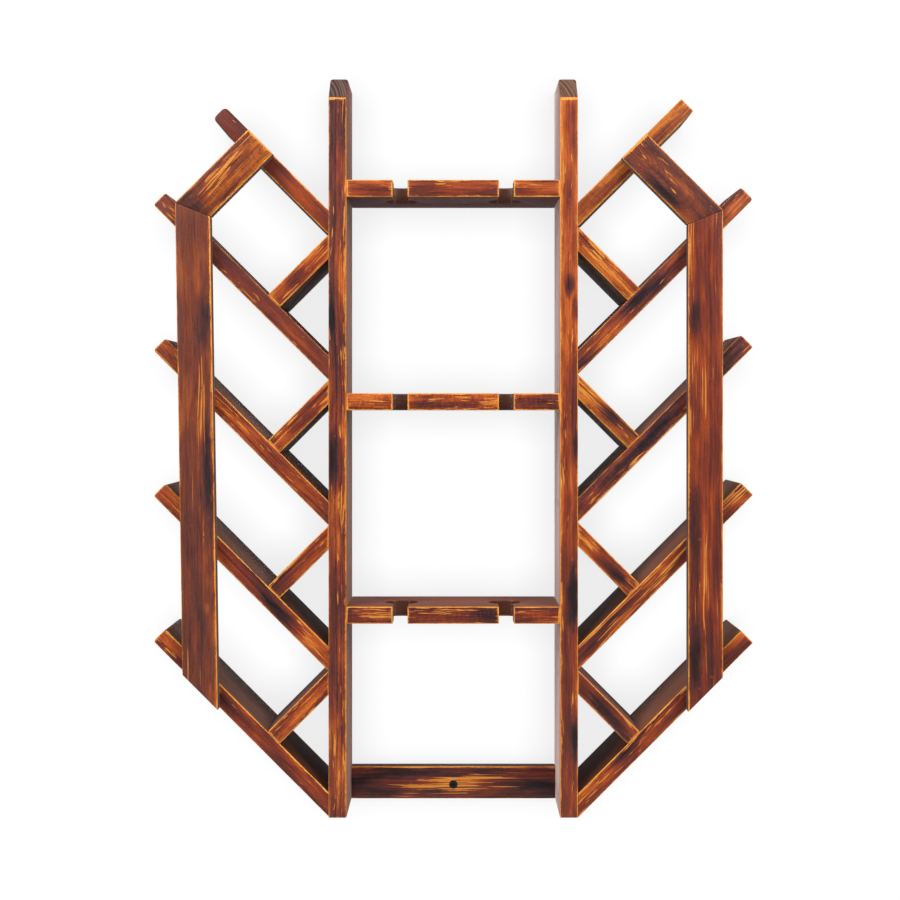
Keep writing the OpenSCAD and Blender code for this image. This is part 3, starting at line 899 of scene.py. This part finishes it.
# %% Looks of the bars
LOOKS.update({
    "left_bar_1": dict(
        worn=dict(start=NONE, finish=NONE, worn_to=14), tone=0.57, streaks=0.16, contrast=0.5,
        drift=0.5, bright=[(-40, 0, 28, 7)]),
    "left_bar_2": dict(
        worn=dict(low=0.9, high=0.4, start=NONE), tone=0.56, tint=PLUM, streaks=0.2, drift=0.6,
        contrast=0.6, bright=[(-84, -2, 24, 5), (112, 0, 16, 8)]),
    "left_bar_3": dict(
        worn=dict(start=NONE), tone=0.66, streaks=0.42, bright=[(112, 0, 16, 8), (20, 0, 30, 6)]),
    "left_bar_4": dict(
        worn=dict(start=NONE), tone=0.66, streaks=0.42, scorch=[(-56, -2, 26, 6)],
        bright=[(112, 0, 16, 8), (-100, 0, 24, 7)]),
    "left_bar_5": dict(
        worn=dict(high=1.3, low=0.5, start=NONE), tone=0.57, streaks=0.33, contrast=0.8,
        bright=[(114, 0, 18, 9), (-10, 5, 30, 3), (-100, -4, 20, 3)]),
    "right_bar_1": dict(
        worn=dict(start=NONE), tone=0.72, tint=OLIVE, streaks=0.28, contrast=0.7, figure=0.15),
    "right_bar_2": dict(
        worn=dict(low=0.9, high=0.4, start=NONE), tone=0.5, tint=PLUM, streaks=0.3, drift=1.2,
        scorch=[(-40, 4, 24, 4)], bright=[(20, 6, 20, 3), (-96, 0, 26, 8), (112, 3, 14, 6)]),
    "right_bar_3": dict(
        worn=dict(low=1.3, high=0.5, start=NONE), tone=0.44, tint=PLUM, streaks=0.3, figure=0.2,
        contrast=0.75, scorch=[(-10, 0, 30, 7)],
        bright=[(-106, 0, 12, 6), (56, 0, 18, 8), (118, -6, 12, 4)]),
    "right_bar_4": dict(
        worn=dict(low=1.1, high=1.2, start=NONE), tone=0.48, streaks=0.46, streak_length=60.0,
        streak_width=1.5, clump_length=150.0, clump_width=8.0,
        bright=[(30, 0, 50, 7), (112, 0, 18, 7)]),
    "right_bar_5": dict(
        worn=dict(low=0.8, high=1.3, start=NONE), tone=0.62, streaks=0.36,
        bright=[(0, 3, 40, 4), (-96, 0, 30, 7)], scorch=[(-56, 4, 18, 3)]),
})

# %% Looks of the braces
for side in SIDES:
    for n in range(1, BARS):
        LOOKS[f"{side}_brace_{n}"] = dict(
            worn=dict(low=1.1, high=1.1, start=0.8, finish=1.3), tone=0.62, streaks=0.46,
            streak_length=14.0)
LOOKS["left_brace_1"].update(bright=[(-26, 0, 14, 9)], scorch=[(8, 2, 14, 5)])
LOOKS["left_brace_2"].update(bright=[(-28, -4, 12, 4), (28, 0, 12, 8)])
LOOKS["left_brace_4"].update(tone=0.68, bright=[(0, -2, 34, 6)])
LOOKS["right_brace_1"].update(tone=0.72, bright=[(0, 0, 40, 9)])
LOOKS["right_brace_2"].update(tint=OLIVE, bright=[(-26, 0, 14, 9)], scorch=[(6, 2, 14, 6)])
LOOKS["right_brace_3"].update(bright=[(-26, 0, 14, 9)], scorch=[(14, 0, 16, 6)])
LOOKS["right_brace_4"].update(tone=0.5, scorch=[(-6, 0, 26, 5)])

# %% [markdown]
# ## Giving every board its finish
# Seen at a low angle, the uprights' inner faces look pale. A sheen gives them that, most of all on
# the right, whose side face is also paler: painted light. Side faces that show in front have stains
# of their own, and bars and braces get painted shade in the corners that they make with the uprights.

# %% Give every board its finish
# Painted shade reaches this far along the bars and braces from the upright
BRACE_FOOT = 62  # how far from the upright a brace's foot stands, in millimetres
# Painted light: the right upright's side face is paler than the left's, for the light that falls on its
# inner face
SIDE_FACES = {"left_upright": "#7a4636", "right_upright": "#9a6c62", "left_bar": "#66453a",
              "right_bar": "#7a4a38", "left_brace": "#7a5048", "right_brace": "#7a5048",
              "bottom_shelf": "#7a4636"}
SHEEN = {"left_upright": 0.3, "right_upright": 1.0, "bottom_shelf": 0.1}
for name, board in boards.items():
    looks = LOOKS[name]
    kind = name.rstrip("_12345")
    if kind in SIDE_FACES:
        looks["side_face"] = colour(SIDE_FACES[kind])
    if kind in SHEEN:
        looks["sheen"] = SHEEN[kind]
    if "_bar_" in name:
        looks["worn"]["soot_high"] = 0.0 if name.endswith("1") else BRACE_FOOT
    elif "_brace_" in name:
        looks["worn"]["soot_low"] = BRACE_FOOT
    board.piece.data.materials.append(pine("pine_" + name, **looks))
print(len(boards), "finishes")

# %% [markdown]
# ## Metal
# The wall screw is blackened steel. The other screws and the hanger plates are zinc plated, and
# the brads' heads took the stain with the wood around them.

# %% Finishes of the fasteners
def metal(name, base, rough, metallic=1.0):
    material = bpy.data.materials.new(name)
    material.use_nodes = True
    tree = material.node_tree
    shader = tree.nodes["Principled BSDF"]
    where = add(tree, "TexCoord").node.outputs["Object"]
    mottle = add(tree, "TexNoise", where, 400.0, 4.0, 0.6)
    fine = add(tree, "TexNoise", where, 2200.0, 2.0, 0.5)
    tone = add(tree, "MapRange", mottle, 0.3, 0.7, 0.75, 1.15)
    tint = blend(tree, 1.0, colour(base), add(tree, "CombineColor", tone, tone, tone), "MULTIPLY")
    tree.links.new(tint, shader.inputs["Base Color"])
    polish = add(tree, "MapRange", mottle, 0.3, 0.7, rough - 0.08, rough + 0.1)
    tree.links.new(polish, shader.inputs["Roughness"])
    bump = tree.nodes.new("ShaderNodeBump")
    bump.inputs["Strength"].default_value, bump.inputs["Distance"].default_value = 0.3, 0.05 * MM
    tree.links.new(fine, bump.inputs["Height"])
    tree.links.new(bump.outputs["Normal"], shader.inputs["Normal"])
    shader.inputs["Metallic"].default_value = metallic
    return material


zinc = metal("zinc_plate", "#b4b8ba", 0.36)
black = metal("blackened_steel", "#202022", 0.4, 0.6)
stained_head = metal("stained_brad", "#6a3320", 0.5, 0.0)
for name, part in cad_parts.items():
    if part.hide_render:
        continue
    finish = black if name == "wall_screw" else stained_head if name.endswith("brads") else zinc
    part.data.materials.clear()
    part.data.materials.append(finish)
print("fasteners:", sum(not part.hide_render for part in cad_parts.values()), "nodes")

# %% [markdown]
# ## Wall, floor and light
# The wall is white and glows, so that it stays white, and close to the boards its glow is dimmed a
# little by painted shade. From behind it is clear, because the back of the rack has to be seen too.
# The floor lies well below. Two large soft lights stand to the sides and one hangs above. A weak one
# behind, which leaves no highlights, lights the back.

# %% Wall and floor
bpy.ops.object.select_all(action="DESELECT")
RACK_MIDDLE = Vector((0, 0, 0.4))
bpy.ops.mesh.primitive_plane_add(
    size=6, location=RACK_MIDDLE + BACK * MM, rotation=(math.radians(90), 0, 0))
wall = placed("wall")
bpy.ops.mesh.primitive_plane_add(size=8, location=(0, -2.5, feet - 1.0))
floor = placed("floor")
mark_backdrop(wall, floor)

SHADOW_REACH, SHADOW_SHADE = 48 * MM, 0.83
paint = bpy.data.materials.new("white_wall")
paint.use_nodes = True
tree = paint.node_tree
tree.nodes.clear()
output = tree.nodes.new("ShaderNodeOutputMaterial")
# Painted shade: occlusion dims the wall's glow where the boards are close
corners = add(tree, "AmbientOcclusion", (1, 1, 1, 1), SHADOW_REACH, samples=12).node.outputs["AO"]
shade = add(tree, "MapRange", corners, 0.35, 1.0, SHADOW_SHADE, 1.02)
lit = add(tree, "Emission", (1, 1, 1, 1), shade)
one_side = add(tree, "NewGeometry").node.outputs["Backfacing"]
seen = add(tree, "MixShader", one_side, lit, add(tree, "BsdfTransparent"))
tree.links.new(seen, output.inputs["Surface"])
wall.visible_diffuse = wall.visible_glossy = wall.visible_shadow = False
wall.data.materials.append(paint)

ground = bpy.data.materials.new("pale_floor")
ground.use_nodes = True
tree = ground.node_tree
shader = tree.nodes["Principled BSDF"]
patches = add(tree, "TexNoise", add(tree, "TexCoord").node.outputs["Object"], 3.0, 4.0, 0.5)
tree.links.new(blend(tree, patches, colour("#d8d6d2"), colour("#e4e2de")), shader.inputs["Base Color"])
shader.inputs["Roughness"].default_value = 0.7
shader.inputs["Emission Color"].default_value = (1, 1, 1, 1)
shader.inputs["Emission Strength"].default_value = 0.2
floor.data.materials.append(ground)


# %% Lights
def softbox(name, place, aim, size, power, shine=True):
    lamp = bpy.data.lights.new(name, "AREA")
    lamp.shape, lamp.size, lamp.size_y, lamp.energy = "RECTANGLE", *size, power
    body = bpy.data.objects.new(name, lamp)
    body.location = place
    body.rotation_euler = (Vector(aim) - Vector(place)).to_track_quat("-Z", "Y").to_euler()
    body.visible_glossy = shine
    bpy.context.scene.collection.objects.link(body)


for side, turn in SIDES.items():
    softbox(f"{side}_light", (turn * 2.6, -2.4, 2.3), RACK_MIDDLE, (1.6, 1.4), 108)
softbox("top_light", (0, -1.3, 2.9), (0, -0.05, 0.4), (2.4, 1.2), 45)
softbox("back_light", (0, 3.0, 0.6), RACK_MIDDLE, (1.2, 1.2), 26, shine=False)

world = bpy.data.worlds.new("studio")
world.use_nodes = True
tree = world.node_tree
seen = add(tree, "LightPath").node.outputs["Is Camera Ray"]
backdrop = tree.nodes["Background"]
backdrop.inputs["Color"].default_value = (1, 1, 1, 1)
tree.links.new(add(tree, "MapRange", seen, 0.0, 1.0, 0.07, 1.0), backdrop.inputs["Strength"])
bpy.context.scene.world = world
bpy.context.scene.view_settings.view_transform = "Standard"

# %% [markdown]
# ## The model's box
# Last, the box of the finished model is measured.

# %% Measure the model's box
lo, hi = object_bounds()
